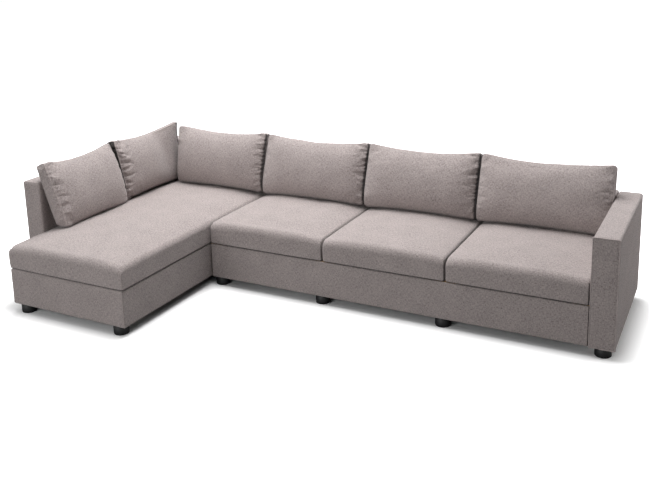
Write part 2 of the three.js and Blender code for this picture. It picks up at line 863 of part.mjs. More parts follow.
// Moves a cushion along one axis until the smallest gap between it and what it rests on is fitGap
function restAgainst(geometry, supports, direction) {
  const along = new THREE.Vector3(...direction);
  const seen = new THREE.MeshBasicMaterial({ side: THREE.DoubleSide });
  const cushion = new THREE.Mesh(geometry, seen);
  const others = supports.map((support) => new THREE.Mesh(support.geometry, seen));
  geometry.computeBoundingBox();
  geometry.computeBoundingSphere();
  const { min, max } = geometry.boundingBox;
  const spots = (axis) => {
    const places = [];
    for (let i = 0; i <= restSampleSteps; i += 1) {
      places.push(THREE.MathUtils.lerp(min.getComponent(axis), max.getComponent(axis), i / restSampleSteps));
    }
    for (const { geometry: { attributes: { position } } } of supports) {
      for (let i = 0; i < position.count; i += 1) places.push(position.getComponent(i, axis));
    }
    const [low, high] = [min.getComponent(axis), max.getComponent(axis)];
    const inside = places.filter((place) => place >= low && place <= high);
    return [...new Set(inside.map((place) => Math.round(place / restGrid) * restGrid))];
  };
  const [first, second] = [0, 1, 2].filter((axis) => direction[axis] === 0);
  const far = rear + armOutside;
  const ray = new THREE.Raycaster();
  let smallest = Infinity;
  const corners = geometry.attributes.position;
  for (let i = 0; i < corners.count; i += 1) {
    const corner = new THREE.Vector3().fromBufferAttribute(corners, i);
    const ownDistance = far + corner.dot(along);
    ray.set(corner.addScaledVector(along, -ownDistance), along);
    const other = ray.intersectObjects(others)[0];
    if (other) smallest = Math.min(smallest, other.distance - ownDistance);
  }
  for (const a of spots(first)) {
    for (const b of spots(second)) {
      const start = along.clone().multiplyScalar(-far);
      start.setComponent(first, a);
      start.setComponent(second, b);
      ray.set(start, along);
      const own = ray.intersectObject(cushion).at(-1);
      const other = own && ray.intersectObjects(others)[0];
      if (other) smallest = Math.min(smallest, other.distance - own.distance);
    }
  }
  return geometry.translate(...along.multiplyScalar(smallest - fitGap).toArray());
}

// Lowers a cushion onto the pads and slides it against the back, in turns, as one move changes the other
function settle(geometry, back, towardsBack) {
  for (let pass = 0; pass < restPassSteps; pass += 1) {
    restAgainst(geometry, pads, [0, 0, -1]);
    restAgainst(geometry, [back], towardsBack);
  }
  return geometry;
}

const cushionAllowance = cushionGap + 2 * cushionBandBulge;
function rearCushion(name, x0, x1, back, tilt) {
  const cushion = leaned(x1 - x0 - cushionAllowance, tilt);
  cushion.translate((x0 + x1) / 2, rearBackFace - cushionLowerBand, seatEdgeHeight);
  return addPiece(name, settle(cushion, back, [0, 1, 0]), fabric);
}

function sideCushion(name, y0, y1, tilt) {
  const cushion = leaned(y1 - y0 - cushionAllowance, tilt).rotateZ(Math.PI / 2);
  cushion.translate(cushionLowerBand, (y0 + y1) / 2, seatEdgeHeight);
  return addPiece(name, settle(cushion, sideBack, [-1, 0, 0]), fabric);
}

const sideCushionStart = sideBackSetback + sideCushionInset;
const sideCushionEnd = rearBackFace - sideCushionRearInset;
const sideCushionSplit = THREE.MathUtils.lerp(sideCushionStart, sideCushionEnd, sideCushionSplitShare);
const backJoints = [chaiseWidth + firstBackShift, firstJoint + secondBackShift, secondJoint + thirdBackShift];
sideCushion('side_cushion_front', sideCushionStart, sideCushionSplit, frontSideTiltDegrees);
sideCushion('side_cushion_rear', sideCushionSplit, sideCushionEnd, rearSideTiltDegrees);
rearCushion('corner_cushion', cornerCushionInset, backJoints[0], cornerBack, cornerCushionTiltDegrees);
rearCushion('back_cushion_1', backJoints[0], backJoints[1], rearBack, cushionTiltDegrees);
rearCushion('back_cushion_2', backJoints[1], backJoints[2], rearBack, cushionTiltDegrees);
rearCushion('back_cushion_3', backJoints[2], armInside, rearBack, cushionTiltDegrees);

sofa.position.set(-(left + armOutside) / 2, -rear / 2, 0);

export default sofa;
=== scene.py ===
import json
import math

import bmesh
import bpy
import numpy as np
from mathutils import Matrix, Vector


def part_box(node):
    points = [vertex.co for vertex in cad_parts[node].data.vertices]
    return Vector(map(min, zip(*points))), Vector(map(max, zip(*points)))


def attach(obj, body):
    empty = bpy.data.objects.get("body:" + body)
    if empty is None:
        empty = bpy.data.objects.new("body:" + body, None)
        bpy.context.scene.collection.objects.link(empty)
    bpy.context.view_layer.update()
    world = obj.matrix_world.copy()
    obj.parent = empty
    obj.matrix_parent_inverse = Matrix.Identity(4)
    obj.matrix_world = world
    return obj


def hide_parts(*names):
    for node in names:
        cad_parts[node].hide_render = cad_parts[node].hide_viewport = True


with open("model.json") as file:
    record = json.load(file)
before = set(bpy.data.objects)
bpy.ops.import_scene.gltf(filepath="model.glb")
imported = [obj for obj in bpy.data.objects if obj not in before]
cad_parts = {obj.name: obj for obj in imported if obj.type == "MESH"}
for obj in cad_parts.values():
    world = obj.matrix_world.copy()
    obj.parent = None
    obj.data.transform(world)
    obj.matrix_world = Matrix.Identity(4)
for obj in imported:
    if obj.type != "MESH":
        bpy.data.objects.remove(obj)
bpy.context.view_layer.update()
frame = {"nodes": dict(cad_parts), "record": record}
nodes = frame["nodes"]
scene = bpy.context.scene

# Lengths are in metres. Shares run from 0 to 1.

# Grid spacing: fine lines beside the seams and edges, wider ones between them
SEAM_LINES = (0, 0.0018, 0.004, 0.007, 0.011, 0.016, 0.022, 0.029, 0.037, 0.046, 0.056)
END_LINES = SEAM_LINES[:2]
BAND_LINES = SEAM_LINES[:6]
PAD_SIDE_LINES = SEAM_LINES[:9]
EDGE_LINES = (0, 0.0015, 0.003, 0.005, 0.0075, 0.0105, 0.014, 0.018, 0.024, 0.032)
GATHER_STEP = 0.0036
FACE_STEP = 0.009
BAND_STEP = 0.006
COVER_STEP = 0.014
PANEL_STEP = 0.012
PANEL_WALL_STEP = 0.0025

# Back cushions, in the sizes of their solids. Powers and fullness set how a form fades to its edges.
CUSHION_HEIGHT = 0.396
LOWER_BAND = 0.092
UPPER_BAND = 0.070
CORNER_BAND_SHARE = 0.92
CORNER_POWER = 4
CUSHION_CORNER_RADIUS = 0.016
FRONT_CROWN = 0.057
REAR_CROWN = 0.003
ACROSS_POWER = 4.5
ACROSS_FULLNESS = 0.72
UP_POWER = 2
UP_FULLNESS = 0.8
CROWN_RISE = 0.14
PRESSED_SPAN = (-0.15, 0.5)
TOP_DIP = 0.027
BOTTOM_DIP = 0.011
SIDE_SINK = 0.020
SINK_POWER = 9
LOWER_SINK = 0.034
LOWER_SINK_POWER = 4
JOINT_FILL = 0.0015
LEFT_BULGE = 0.002
RIGHT_BULGE = 0.009
END_BULGE = 0.005
FREE_SWELL_FADE = 0.05
PULL_POWER = 4
CUSHION_TILT = math.radians(16.5)
CORNER_TILT = math.radians(14)
FRONT_SIDE_TILT = math.radians(16.5)
REAR_SIDE_TILT = math.radians(11)
CUSHION_WAVES = ((0.22, 0.0016, 0.05), (0.07, 0.0004, 0.02))
FIRST_CUSHION_SEED = 11

# Gathers sewn in beside a seam: the ranges that chance picks from, and the shape of each
GATHER_END_GAP = 0.03
GATHER_PLACES = (0.2, 0.8)
GATHER_SLOPES = (-0.35, 0.35)
GATHER_FAN = 0.25
GATHER_LENGTHS = (0.5, 1.25)
GATHER_WIDTHS = (0.0042, 0.0068)
GATHER_DEPTHS = (0.55, 1.2)
GATHER_SPREAD = 0.9
GATHER_START = (0.0005, 0.006)
GATHER_FULL_SHARE = 0.25
SWELL_PLACE = 2.1
SWELL_WIDTH = 1.3
SWELL_HEIGHT = 0.38
GATHER_END_FADE = (0.004, 0.03)
SIDE_GATHER_LENGTH = LOWER_BAND * 0.45
SIDE_GATHER_DEPTH = 1.2
REAR_GATHER_LENGTH = 0.6
REAR_GATHER_DEPTH = 0.5
TOP_GATHER_PITCH = 0.05
TOP_GATHER_LENGTH = 0.03
TOP_GATHER_DEPTH = 0.0012

# Simulated cloth: grid steps, unevenness at the start and settings. A shrink below 0 is spare cloth.
CLOTH_STEPS = (0.010, 0.007, 0.015)
CLOTH_WAVES = (0.09, 0.0008)
CLOTH_FRAMES = 20
CLOTH_SETTINGS = {
    "quality": 6, "mass": 0.3, "tension_stiffness": 20, "compression_stiffness": 20, "shear_stiffness": 8,
    "bending_stiffness": 0.5, "tension_damping": 10, "compression_damping": 10, "shear_damping": 10,
    "use_pressure": True, "uniform_pressure_force": 4, "vertex_group_mass": "seams", "shrink_min": -0.045,
}

# Folds kept from the simulated cloth. END_FOLDS holds their strength and reach below and above.
FOLD_BLUR = 0.035
FOLD_LIMIT = 0.006
BAND_FOLD_SHARE = 0.6
END_FOLDS = ((0.3, 0.05), (0.3, 0.06))

# Seat pads and mattress, in the sizes of their solids
PAD_FRONT_RADIUS = 0.044
PAD_REAR_RADIUS = 0.026
PAD_LOWER_RADIUS = 0.009
PAD_CORNER_RADIUS = 0.009
PAD_GAP = 0.0024
EDGE_LIFT = 0.0014
LIFT_REACH = 0.035
LIFT_POWER = 4
REST_GAP = 0.0022
PAD_CROWN_POWER = 4.5
PAD_BOW_POWER = 4
PAD_BOW_SHARE = 0.45
PAD_FRONT_BULGE = 0.005
PAD_INNER = 0.06
PAD_FOOT = 0.03
PAD_WAVES = (0.30, 0.0015)
PAD_SMALL_WAVES = (0.09, 0.0004)
SEAT_EDGE_HEIGHT = 0.399
SEAT_EDGE_RADIUS = 0.015
SEAT_CROWN = 0.036
SEAT_SEED = 32
MATTRESS_EDGE_RADIUS = 0.024
MATTRESS_CROWN = 0.046
MATTRESS_SEAM_DROP = 0.034
MATTRESS_GAP = 0.001
MATTRESS_SEED = 31

# Sewn seams. NO_SEAM stands for a distance far from any seam.
RIDGE_HEIGHT = 0.0018
GROOVE_DEPTH = 0.0018
RIDGE_WIDTH = 0.0022
GROOVE_PLACE = 0.0062
GROOVE_WIDTH = 0.0030
SEAM_SHADE = 0.0030
NO_SEAM = 1

# Painted shade in the joints: how dark the cloth is painted deep in a joint, under a pad and along a contact,
# where shade falls, and how far that reaches out of it
PAINTED_SHADE_COLOR = (0.020, 0.017, 0.016, 1)
JOINT_SHADE = 0.9
JOINT_DEPTH = 0.0105
JOINT_POWER = 4
JOINT_MOUTH = 0.02
CONTACT_WIDTH = 0.004
CONTACT_REACH = 0.008
CONTACT_SHADE = 0.6
UNDER_START = 0.002

# Base, backs and arm
COVER_WALL = 0.0095
LIP = 0.008
BACK_EDGE_RADIUS = 0.012
ARM_EDGE_RADIUS = 0.014
PANEL_EDGE_RADIUS = 0.006
SEAT_BASE_EDGE_RADIUS = 0.0045
CHAISE_BASE_EDGE_RADIUS = 0.008
SHELL_WAVES = (0.35, 0.0012)
SHELL_WAVE_FADE = (0.01, 0.08)
PANEL_WAVES = (0.25, 0.0008)
PANEL_WAVE_FADE = (0, 0.05)
CORD_WAVES = (0.02, 0.5)
BASE_WAVES = (0.3, 0.0010)
BASE_WAVE_FADE = (0.01, 0.06)
BASE_TOP_FADE = (0, 0.03)
COVER_SEEDS = {
    "side_back": 51, "corner_back": 52, "rear_back": 53, "arm": 54, "arm_front": 55, "seat_base": 56,
    "chaise_base": 57,
}

# Feet
FOOT_EDGE = 0.006
FOOT_EDGE_STEPS = 6
FOOT_SIDES = 56
FOOT_TOP_GAP = 0.0003
FOOT_HOLLOW = 0.0008
FOOT_HOLLOW_SHARES = (0.55, 0.62)
FOOT_STEP_HEIGHTS = (0.008, 0.007, 0.0015)
FOOT_STEP = 0.0012
FOOT_BEVEL = 0.0025
MERGE_DISTANCE = 0.00005

# Unevenness of cloth: how many waves, and the range of their pitches
WAVE_COUNT = 9
WAVE_PITCHES = (0.6, 1.7)

# Colours, how far chance may shift the weave, and its scales in waves per metre
CLOTH_COLOR = (0.342, 0.296, 0.287)
DARK_THREAD = 0.54
LIGHT_THREAD = 1.48
# How much paler the cloth is coloured along the seams, and the share of that
SEAM_PALER = 1.5
SEAM_PALER_SHARE = 0.5
WEAVE_SHIFT = 3
THREAD_SCALES = (620, 45, 1), (45, 620, 1)
SLUB_SCALES = (300, 80, 1), (80, 300, 1)
ROW_SCALE = (3490, 3490, 1)
GRAIN_RANGE = (2.68, 3.66)

# The two dark boxes under the sofa, as middles and half sizes, and the distance over which the floor turns
# white. The floor looks pale to the camera and throws less light back on the sofa.
FOOTPRINT = (((-1.199, 0, 0), (0.413, 0.7615, 1)), ((0.064, 0.405, 0), (1.548, 0.3565, 1)))
FLOOR_FADE = 0.26
FLOOR_HALF = 30
FLOOR_SEEN = 0.95
FLOOR_BOUNCED = 0.28

# Camera, fitted to the photograph, and lights: place, target, size and power
CAMERA_PLACE = (2.168, -3.9595, 2.0149)
CAMERA_YAW = math.radians(27.6316)
CAMERA_PITCH = math.radians(12.2426)
CAMERA_ROLL = math.radians(-1.5164)
CAMERA_LENS = 45.641
CAMERA_SENSOR = 36
CAMERA_SHIFT = -0.1754
WORLD_FILL = 0.05
SOFTBOXES = {
    "rear_overhead": ((-0.8, 1.6, 4.6), (-0.1, 0.1, 0.3), (4.6, 2.6), 188),
    "overhead": ((-0.4, 0.1, 5.2), (0.0, 0.3, 0.35), (3.2, 3.0), 186),
    "front_fill": ((-1.2, -5.2, 2.2), (0.0, 0, 0.3), (4.4, 2.4), 116),
    "left_fill": ((-4.2, -1.2, 3.4), (0.0, 0.3, 0.4), (3.0, 3.0), 28),
    "side_fill": ((4.6, 1.9, 1.3), (1.7, 0.2, 0.3), (1.6, 1.6), 54),
}


# Grids of points
def spaced(length, step, fine=(0,)):
    """Grid lines from 0 to length: the fine distances from both ends and even steps between them."""
    ends = np.array([d for d in fine if d == 0 or d <= (length - step) / 2])
    start = ends[-1]
    count = max(round((length - 2 * start) / step), 1)
    middle = np.linspace(start, length - start, count + 1)
    return np.unique(np.concatenate((ends, middle, length - ends)).round(6))


def grid_block(name, lines):
    """A box cut along the given lines of each axis, as a mesh with the rest place of each vertex."""
    bm = bmesh.new()
    bmesh.ops.create_cube(bm, size=1)
    for axis, marks in enumerate(lines):
        along = [e for e in bm.edges if abs(e.verts[0].co[axis] - e.verts[1].co[axis]) > 0.5]
        bmesh.ops.subdivide_edges(bm, edges=along, cuts=len(marks) - 2, use_grid_fill=True)
    mesh = bpy.data.meshes.new(name)
    bm.to_mesh(mesh)
    bm.free()
    unit = points_of(mesh) + 0.5
    rest = np.empty_like(unit)
    for axis, marks in enumerate(lines):
        rest[:, axis] = marks[np.rint(unit[:, axis] * (len(marks) - 1)).astype(int)]
    return mesh, rest


def points_of(mesh):
    flat = np.empty(len(mesh.vertices) * 3, np.float32)
    mesh.vertices.foreach_get("co", flat)
    return flat.reshape(-1, 3).astype(float)


def put_points(mesh, points):
    mesh.vertices.foreach_set("co", points.astype(np.float32).ravel())
    mesh.update()


def normals_of(mesh):
    flat = np.empty(len(mesh.vertices) * 3, np.float32)
    mesh.vertex_normals.foreach_get("vector", flat)
    return flat.reshape(-1, 3).astype(float)


def raise_points(mesh, height):
    """Moves each point along its normal."""
    put_points(mesh, points_of(mesh) + normals_of(mesh) * height[:, None])


def lay_weave(mesh, rest, seed):
    """A UV layer in metres for each flat panel of a grid block, so that the threads follow the panel."""
    corners = np.empty(len(mesh.loops), np.int32)
    mesh.loops.foreach_get("vertex_index", corners)
    quads = rest[corners].reshape(-1, 4, 3)
    flat_axis = np.ptp(quads, axis=1).argmin(axis=1)
    side = quads[:, 0][np.arange(len(quads)), flat_axis] > rest.mean(axis=0)[flat_axis]
    shifts = np.random.default_rng(seed).uniform(0, WEAVE_SHIFT, (6, 2))
    across = np.where(flat_axis == 0, 1, 0)
    up = np.where(flat_axis == 2, 1, 2)
    face, corner = np.arange(len(quads))[:, None], np.arange(4)[None, :]
    uv = np.stack([quads[face, corner, across[:, None]], quads[face, corner, up[:, None]]], axis=2)
    uv += shifts[flat_axis * 2 + side][:, None, :]
    layer = mesh.uv_layers.new(name="weave")
    layer.data.foreach_set("uv", uv.astype(np.float32).ravel())


def set_share(mesh, name, share):
    """Stores a value from 0 to 1 for each point, for the material to read."""
    layer = mesh.attributes.new(name, "FLOAT", "POINT")
    layer.data.foreach_set("value", share.astype(np.float32))


def set_seam(mesh, distance):
    """Stores how near each point lies to a seam, from its distance to it."""
    set_share(mesh, "seam", np.exp(-((distance / SEAM_SHADE) ** 2)))


def smooth(value, start, end):
    """Rises softly from 0 at the start to 1 at the end."""
    t = np.clip((value - start) / (end - start), 0, 1)
    return t * t * (3 - 2 * t)


def drift(places, seed, length, height):
    """The gentle unevenness of cloth over its filling: a few waves in seeded directions."""
    chance = np.random.default_rng(seed)
    total = np.zeros(len(places))
    for _ in range(WAVE_COUNT):
        direction = chance.normal(size=3)
        direction /= np.linalg.norm(direction)
        pitch = length * chance.uniform(*WAVE_PITCHES)
        total += np.sin(2 * math.pi * (places @ direction) / pitch + chance.uniform(0, 2 * math.pi))
    return height * total / math.sqrt(WAVE_COUNT)


def seam_rise(distance):
    """Height of a seam's cord and of the pulled-in cloth beside it."""
    ridge = RIDGE_HEIGHT * np.exp(-((distance / RIDGE_WIDTH) ** 2))
    groove = GROOVE_DEPTH * np.exp(-(((distance - GROOVE_PLACE) / GROOVE_WIDTH) ** 2))
    return ridge - groove


def dressed(name, mesh, material, replaced):
    """A finished piece that rides on the sofa's one body and stands in for the given nodes."""
    piece = bpy.data.objects.new(name, mesh)
    scene.collection.objects.link(piece)
    mesh.materials.clear()
    mesh.materials.append(material)
    mesh.shade_smooth()
    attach(piece, "root")
    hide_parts(*replaced)
    return piece


# Materials
class Nodes:
    """A material's node tree, with short calls that add a node and join its inputs."""

    def __init__(self, name):
        self.material = bpy.data.materials.new(name)
        self.material.use_nodes = True
        self.tree = self.material.node_tree

    def add(self, kind, values=None, **settings):
        node = self.tree.nodes.new(kind)
        for key, value in settings.items():
            setattr(node, key, value)
        for key, value in (values or {}).items():
            self.join(value, node.inputs[key])
        return node

    def join(self, value, socket):
        if isinstance(value, bpy.types.NodeSocket):
            self.tree.links.new(value, socket)
        else:
            socket.default_value = value

    def surface(self, values):
        """Gives the shader's inputs their constants or textures, and returns the finished material."""
        for key, value in values.items():
            self.join(value, self.tree.nodes["Principled BSDF"].inputs[key])
        return self.material

    def place(self):
        return self.add("ShaderNodeTexCoord").outputs["Object"]

    def share(self, name):
        return self.add("ShaderNodeAttribute", attribute_name=name).outputs["Fac"]

    def math(self, operation, a, b=0.0, c=0.0):
        return self.add("ShaderNodeMath", {0: a, 1: b, 2: c}, operation=operation).outputs[0]

    def total(self, base, *parts):
        """Adds shares of other values to a base. Each part is a value and its share."""
        for value, share in parts:
            base = self.math("MULTIPLY_ADD", value, share, base)
        return base

    def vector(self, operation, a, b=(0, 0, 0)):
        node = self.add("ShaderNodeVectorMath", {0: a, 1: b}, operation=operation)
        return node.outputs["Value" if operation == "LENGTH" else 0]

    def noise(self, vector, scale, detail=2.0, roughness=0.5):
        values = {"Vector": vector, "Scale": scale, "Detail": detail, "Roughness": roughness}
        return self.add("ShaderNodeTexNoise", values).outputs["Fac"]

    def stretched(self, vector, scale):
        return self.add("ShaderNodeMapping", {"Vector": vector, "Scale": scale}).outputs[0]

    def streaks(self, vector, scales):
        """Noise drawn out along the two ways of the weave, added up."""
        return self.math("ADD", *(self.noise(self.stretched(vector, scale), scale=1) for scale in scales))

    def blend(self, share, a, b):
        node = self.add("ShaderNodeMix", {0: share}, data_type="RGBA")
        self.join(a, node.inputs[6])
        self.join(b, node.inputs[7])
        return node.outputs[2]

    def bump(self, height, strength, distance):
        values = {"Height": height, "Strength": strength, "Distance": distance}
        return self.add("ShaderNodeBump", values).outputs[0]


def shade_of(color, factor):
    return (*(min(c * factor, 1) for c in color), 1)


def cloth_material():
    """Heathered plain weave: thread streaks both ways, flecks, a soft large unevenness, paler seams and
    painted shade in the joints.
    """
    made = Nodes("heathered_weave")
    uv = made.add("ShaderNodeUVMap", uv_map="weave").outputs[0]
    threads = made.streaks(uv, THREAD_SCALES)
    slubs = made.streaks(uv, SLUB_SCALES)
    fleck = made.noise(uv, scale=330, detail=3)
    mottle = made.noise(uv, scale=95, detail=3)
    cloud = made.noise(uv, scale=9, detail=2)
    grain = made.total(threads, (fleck, 0.9), (mottle, 0.35), (slubs, 1.5), (cloud, 0.35))
    low, high = GRAIN_RANGE
    level = made.add("ShaderNodeMapRange", {"Value": grain, "From Min": low, "From Max": high}).outputs[0]
    color = made.blend(level, shade_of(CLOTH_COLOR, DARK_THREAD), shade_of(CLOTH_COLOR, LIGHT_THREAD))
    # Paler colour along the seams, by the seam share.
    seam_paler = made.math("MULTIPLY", made.share("seam"), SEAM_PALER_SHARE)
    color = made.blend(seam_paler, color, shade_of(CLOTH_COLOR, SEAM_PALER))
    # Painted shade: the hollow share darkens the cloth towards a near-black colour where shade falls in
    # joints and gaps.
    color = made.blend(made.share("hollow"), color, PAINTED_SHADE_COLOR)
    rows = made.add("ShaderNodeSeparateXYZ", {0: made.stretched(uv, ROW_SCALE)}).outputs
    weave = made.math("MULTIPLY", made.math("SINE", rows[0]), made.math("SINE", rows[1]))
    height = made.total(threads, (weave, 0.35), (fleck, 0.6), (slubs, 1.5))
    return made.surface({
        "Base Color": color, "Normal": made.bump(height, strength=0.7, distance=0.0012), "Roughness": 0.93,
        "Specular IOR Level": 0.2, "Sheen Weight": 0.25, "Sheen Roughness": 0.5,
    })


def plastic_material():
    made = Nodes("moulded_plastic")
    place = made.place()
    grain = made.noise(place, scale=900, detail=2)
    scuff = made.noise(place, scale=60, detail=4, roughness=0.7)
    return made.surface({
        "Base Color": made.blend(scuff, (0.005, 0.005, 0.0055, 1), (0.013, 0.013, 0.014, 1)),
        "Roughness": made.total(0.40, (scuff, 0.2)), "Specular IOR Level": 0.3,
        "Normal": made.bump(grain, strength=0.25, distance=0.0004),
    })


def timber_material():
    made = Nodes("planed_softwood")
    place = made.place()
    warped = made.noise(made.stretched(place, (2.5, 30, 30)), scale=1, detail=3)
    rings = made.add("ShaderNodeTexWave", {
        "Vector": made.stretched(place, (0.6, 9, 9)), "Scale": 1.0, "Distortion": 6.0, "Detail": 3.0,
    }).outputs["Fac"]
    color = made.blend(rings, (0.60, 0.38, 0.19, 1), (0.44, 0.25, 0.11, 1))
    color = made.blend(made.math("MULTIPLY", warped, 0.5), color, (0.68, 0.47, 0.27, 1))
    normal = made.bump(warped, strength=0.3, distance=0.0008)
    return made.surface({"Base Color": color, "Roughness": 0.75, "Normal": normal})


def steel_material():
    made = Nodes("drawn_steel")
    streak = made.noise(made.stretched(made.place(), (40, 40, 600)), scale=1, detail=3)
    return made.surface({
        "Base Color": made.blend(streak, (0.38, 0.39, 0.40, 1), (0.52, 0.53, 0.55, 1)),
        "Roughness": made.total(0.3, (streak, 0.25)), "Metallic": 1.0,
    })


def lining_material():
    made = Nodes("black_lining")
    felt = made.noise(made.place(), scale=450, detail=4, roughness=0.65)
    color = made.blend(felt, (0.006, 0.006, 0.007, 1), (0.030, 0.030, 0.033, 1))
    normal = made.bump(felt, strength=0.5, distance=0.0006)
    return made.surface({"Base Color": color, "Roughness": 0.95, "Normal": normal})


cloth = cloth_material()
plastic = plastic_material()

# Solids that stay as they are take the material of their slot
slot_materials = {"timber": timber_material(), "steel": steel_material(), "lining": lining_material()}
for entry in frame["record"]["subparts"]:
    if entry["material_slot"] in slot_materials:
        for holder in nodes[entry["node"]].material_slots:
            holder.link = "OBJECT"
            holder.material = slot_materials[entry["material_slot"]]


def round_edge(across, up, radius):
    """Rounds the corner of two axes, both counted inwards from the corner, and gives the new pair."""
    inside = (across < radius) & (up < radius)
    a = np.where(inside, 1 - across / radius, 0)
    b = np.where(inside, 1 - up / radius, 0)
    reach = np.maximum(a, b)
    low = np.minimum(a, b)
    angle = math.pi / 4 * np.divide(low, reach, out=np.zeros_like(low), where=reach > 0)
    major, minor = reach * np.cos(angle), reach * np.sin(angle)
    new_a = np.where(a >= b, major, minor)
    new_b = np.where(a >= b, minor, major)
    return (
        np.where(inside, radius * (1 - new_a), across),
        np.where(inside, radius * (1 - new_b), up),
    )


def round_sides(x, width, other, radius):
    """Rounds the corners that both ends of a width make with another axis."""
    from_side, other = round_edge(np.minimum(x, width - x), other, radius)
    return np.where(x < width / 2, from_side, width - from_side), other


# Back cushions
def gathers(chance, along_length, count, length, depth):
    """Gathers along a seam: for each its place, slope, length, width and depth."""
    pitch = (along_length - 2 * GATHER_END_GAP) / count
    made = []
    for i in range(count):
        place = -along_length / 2 + GATHER_END_GAP + pitch * (i + chance.uniform(*GATHER_PLACES))
        slope = chance.uniform(*GATHER_SLOPES) - GATHER_FAN * place / along_length
        size = length * chance.uniform(*GATHER_LENGTHS)
        width = chance.uniform(*GATHER_WIDTHS)
        made.append((place, slope, size, width, depth * chance.uniform(*GATHER_DEPTHS)))
    return made


def gather_depth(along, distance, folds):
    """How deep the gathers press a face in, at a place along the seam and a distance from it."""
    total = np.zeros(len(along))
    for place, slope, length, width, depth in folds:
        off = along - place - slope * distance
        wide = width * (1 + GATHER_SPREAD * distance / length)
        fade = 1 - smooth(distance, GATHER_FULL_SHARE * length, length)
        reach = smooth(distance, *GATHER_START) * fade
        hollow = np.exp(-((off / wide) ** 2))
        swell = np.exp(-(((np.abs(off) - SWELL_PLACE * wide) / (SWELL_WIDTH * wide)) ** 2))
        total += depth * reach * (hollow - SWELL_HEIGHT * swell)
    return total


def cushion_form(rest, width, lean, sunk, pulls=(), pressed=0):
    """Crowned faces on a band that narrows towards the top, with a slanted underside.

    sunk says how far the front seam lies back at the left, at the right and below, as shares of the most.
    Each pull takes the upper end of one side, -1 or 1, outwards and forwards, and says how fast it fades
    downwards. pressed is the share of the crown that the right half loses to a neighbour.
    """
    x, y, z = (rest - (width / 2, CUSHION_HEIGHT / 2, LOWER_BAND / 2)).T
    at_side, at_end = np.abs(x) == width / 2, np.abs(y) == CUSHION_HEIGHT / 2
    from_side, from_end = round_edge(
        width / 2 - np.abs(x), CUSHION_HEIGHT / 2 - np.abs(y), CUSHION_CORNER_RADIUS,
    )
    u = np.sign(x) * (width / 2 - from_side) / (width / 2)
    v = np.sign(y) * (CUSHION_HEIGHT / 2 - from_end) / (CUSHION_HEIGHT / 2)
    w = z / (LOWER_BAND / 2)
    drop = np.where(v > 0, TOP_DIP, BOTTOM_DIP)
    band = LOWER_BAND + (UPPER_BAND - LOWER_BAND) * (v + 1) / 2
    narrow = 1 - (1 - CORNER_BAND_SHARE) * np.abs(u * v) ** CORNER_POWER
    crown_place = v - CROWN_RISE * (1 - v * v)
    across = np.clip(1 - np.abs(u) ** ACROSS_POWER, 0, 1) ** ACROSS_FULLNESS
    up = np.clip(1 - np.abs(crown_place) ** UP_POWER, 0, 1) ** UP_FULLNESS
    crown = across * up * (1 - pressed * smooth(u, *PRESSED_SPAN))
    rise = np.where(w > 0, FRONT_CROWN, REAR_CROWN)
    on_face = np.abs(w) == 1
    swell = 1 - w * w
    sink = SIDE_SINK * np.where(u < 0, sunk[0], sunk[1]) * np.abs(u) ** SINK_POWER
    sink += LOWER_SINK * sunk[2] * np.clip(-v, 0, 1) ** LOWER_SINK_POWER
    bulge = np.where(u < 0, -LEFT_BULGE, RIGHT_BULGE) * np.abs(u) * swell
    thick = w * band * narrow / 2 + np.where(on_face, np.sign(w) * rise * crown, 0) - (w + 1) / 2 * sink
    wide = width / 2 * u + np.where(at_side, bulge, 0)
    high = (CUSHION_HEIGHT / 2 - drop * (1 - u * u)) * v + np.where(at_end, END_BULGE * v * swell, 0)
    for side, outwards, forwards, fading in pulls:
        share = np.clip(side * u, 0, 1) ** PULL_POWER * ((1 + v) / 2) ** fading
        wide += side * outwards * share
        thick += forwards * share
    high -= thick * math.tan(lean) * (1 - v) / 2
    return np.stack((wide, high, thick), axis=1)


def stand_up(points, lean, sideways):
    """Turns a cushion's width, height and thickness into the sofa's axes, leaning back."""
    up = np.array((0, math.sin(lean), math.cos(lean)))
    front = np.array((0, -math.cos(lean), math.sin(lean)))
    stood = points[:, :1] * (1, 0, 0) + points[:, 1:2] * up + points[:, 2:] * front
    if sideways:
        stood = stood[:, (1, 0, 2)] * (-1, 1, 1)
    return stood


def blown_up(mesh, pinned):
    """Lets air fill a closed cloth whose seams stay put, and gives how far each point then moves."""
    start = points_of(mesh)
    study = bpy.data.objects.new("cloth_study", mesh)
    scene.collection.objects.link(study)
    seams = study.vertex_groups.new(name="seams")
    seams.add([int(i) for i in np.flatnonzero(pinned)], 1.0, "REPLACE")
    settings = study.modifiers.new("cloth", "CLOTH").settings
    for key, value in CLOTH_SETTINGS.items():
        setattr(settings, key, value)
    settings.effector_weights.gravity = 0
    for number in range(1, CLOTH_FRAMES + 1):
        scene.frame_set(number)
    settled = study.evaluated_get(bpy.context.evaluated_depsgraph_get())
    moves = points_of(settled.to_mesh()) - start
    settled.to_mesh_clear()
    bpy.data.objects.remove(study)
    scene.frame_set(1)
    return moves


def blurred(field, marks, axis):
    """A grid of values averaged along one of its axes."""
    share = np.exp(-(((marks[:, None] - marks[None, :]) / FOLD_BLUR) ** 2))
    share /= share.sum(axis=1, keepdims=True)
    return share @ field if axis == 0 else field @ share.T


def sampled(field, marks, places):
    """Values between the lines of a grid."""
    low, share = [], []
    for line, place in zip(marks, places):
        index = np.clip(np.searchsorted(line, place) - 1, 0, len(line) - 2)
        low.append(index)
        share.append((place - line[index]) / (line[index + 1] - line[index]))
    (i, j), (s, t) = low, share
    near = field[i, j] * (1 - s) + field[i + 1, j] * s
    far = field[i, j + 1] * (1 - s) + field[i + 1, j + 1] * s
    return near * (1 - t) + far * t


